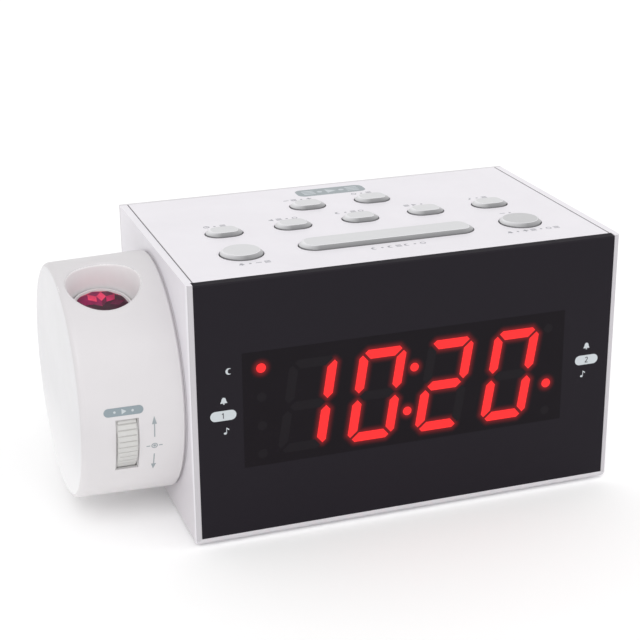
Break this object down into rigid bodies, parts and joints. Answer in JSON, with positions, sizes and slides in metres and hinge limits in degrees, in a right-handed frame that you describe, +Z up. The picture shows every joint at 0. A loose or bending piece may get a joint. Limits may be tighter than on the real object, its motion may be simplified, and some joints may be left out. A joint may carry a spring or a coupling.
{
  "type": "projection alarm clock",
  "caption": "Box-shaped clock radio with a lit front display, push keys on top and a swivelling side drum with a focus wheel and a lens that projects the time.",
  "frame": {"origin": "on the surface the clock stands on, under the middle of its whole outline, drum included", "axes": "+X to the right seen from the display, -Y out of the display, +Z up"},
  "size_m": [0.1922, 0.0988, 0.0962],
  "materials": {
    "white_plastic": "satin moulded",
    "drum_plastic": "satin moulded",
    "smoked_acrylic": "polished",
    "black_plastic": "fine grain",
    "rubber": "matt",
    "lit_segment": "lit from behind",
    "unlit_segment": "satin",
    "circuit_board": "lacquered",
    "steel": "zinc plated",
    "cone_paper": "matt paper",
    "magnet": "ground",
    "cell_metal": "printed sleeve left bare",
    "contact_brass": "plated spring",
    "lead_sheath": "matt",
    "felt": "felt",
    "red_lamp": "clear red",
    "clear_lens": "polished",
    "film": "clear film in a dark frame",
    "tinted_lens": "coated",
    "key_plastic": "satin silver",
    "wheel_plastic": "ribbed"
  },
  "bodies": {
    "case": {"housing": "white_plastic", "top_cover": "white_plastic", "front_panel": "smoked_acrylic", "inner_frame": "black_plastic", "rear_cover": "white_plastic", "rubber_feet": "rubber", "display_block": "black_plastic", "lit_segments": "lit_segment", "unlit_segments": "unlit_segment", "display_board": "circuit_board", "display_screws": "steel", "frame_screws": "steel", "main_board": "circuit_board", "board_components": "black_plastic", "main_board_screws": "steel", "power_socket": "black_plastic", "speaker_basket": "steel", "speaker_cone": "cone_paper", "speaker_magnet": "magnet", "backup_cells": "cell_metal", "cell_contacts": "contact_brass", "battery_door": "white_plastic", "door_screw": "steel", "key_board": "circuit_board", "key_board_screws": "steel", "push_switches": "black_plastic", "cover_screws": "steel", "back_screws": "steel", "projector_lead": "lead_sheath", "felt_ring": "felt"},
    "projector": {"drum_shell": "drum_plastic", "drum_plate": "drum_plastic", "drum_screws": "steel", "hub_washer": "black_plastic", "hub_screws": "steel", "light_box": "black_plastic", "light_box_screws": "steel", "lamp_board": "circuit_board", "lamp": "red_lamp", "condenser_lens": "clear_lens", "picture_film": "film", "wheel_pin": "steel"},
    "wheel": {"focus_wheel": "wheel_plastic"},
    "barrel": {"lens_barrel": "black_plastic", "projector_lens": "tinted_lens"},
    "snooze_bar_cap": {"snooze_bar": "key_plastic"},
    "round_key_left_cap": {"round_key_left": "key_plastic"},
    "round_key_right_cap": {"round_key_right": "key_plastic"},
    "row_key_1_cap": {"row_key_1": "key_plastic"},
    "row_key_2_cap": {"row_key_2": "key_plastic"},
    "row_key_3_cap": {"row_key_3": "key_plastic"},
    "row_key_4_cap": {"row_key_4": "key_plastic"},
    "row_key_5_cap": {"row_key_5": "key_plastic"},
    "back_key_left_cap": {"back_key_left": "key_plastic"},
    "back_key_right_cap": {"back_key_right": "key_plastic"}
  },
  "joints": [
    {"name": "projector_swivel", "type": "hinge", "parent": "case", "child": "projector", "pos_m": [-0.06035, -0.0033, 0.0493], "axis": [1, 0, 0], "range_deg": [-109, 70]},
    {"name": "focus_turn", "type": "hinge", "parent": "projector", "child": "wheel", "pos_m": [-0.08065, -0.02921, 0.04284], "axis": [1, 0, 0], "range_deg": [-18.5, 18.5]},
    {"name": "barrel_slide", "type": "slide", "parent": "projector", "child": "barrel", "axis": [0, -0.3305, 0.9438], "range_m": [-0.00158, 0.00158]},
    {"name": "snooze_bar_press", "type": "slide", "parent": "case", "child": "snooze_bar_cap", "axis": [0, 0, -1], "range_m": [0, 0.0006], "stiffness_N_per_m": 1500, "springref_m": -0.0004},
    {"name": "round_key_left_press", "type": "slide", "parent": "case", "child": "round_key_left_cap", "axis": [0, 0, -1], "range_m": [0, 0.0006], "stiffness_N_per_m": 1500, "springref_m": -0.0004},
    {"name": "round_key_right_press", "type": "slide", "parent": "case", "child": "round_key_right_cap", "axis": [0, 0, -1], "range_m": [0, 0.0006], "stiffness_N_per_m": 1500, "springref_m": -0.0004},
    {"name": "row_key_1_press", "type": "slide", "parent": "case", "child": "row_key_1_cap", "axis": [0, 0, -1], "range_m": [0, 0.0006], "stiffness_N_per_m": 1500, "springref_m": -0.0004},
    {"name": "row_key_2_press", "type": "slide", "parent": "case", "child": "row_key_2_cap", "axis": [0, 0, -1], "range_m": [0, 0.0006], "stiffness_N_per_m": 1500, "springref_m": -0.0004},
    {"name": "row_key_3_press", "type": "slide", "parent": "case", "child": "row_key_3_cap", "axis": [0, 0, -1], "range_m": [0, 0.0006], "stiffness_N_per_m": 1500, "springref_m": -0.0004},
    {"name": "row_key_4_press", "type": "slide", "parent": "case", "child": "row_key_4_cap", "axis": [0, 0, -1], "range_m": [0, 0.0006], "stiffness_N_per_m": 1500, "springref_m": -0.0004},
    {"name": "row_key_5_press", "type": "slide", "parent": "case", "child": "row_key_5_cap", "axis": [0, 0, -1], "range_m": [0, 0.0006], "stiffness_N_per_m": 1500, "springref_m": -0.0004},
    {"name": "back_key_left_press", "type": "slide", "parent": "case", "child": "back_key_left_cap", "axis": [0, 0, -1], "range_m": [0, 0.0006], "stiffness_N_per_m": 1500, "springref_m": -0.0004},
    {"name": "back_key_right_press", "type": "slide", "parent": "case", "child": "back_key_right_cap", "axis": [0, 0, -1], "range_m": [0, 0.0006], "stiffness_N_per_m": 1500, "springref_m": -0.0004}
  ],
  "couplings": [
    {"joint": "focus_turn", "follows": "barrel_slide", "rad_per_m": 204.08}
  ]
}
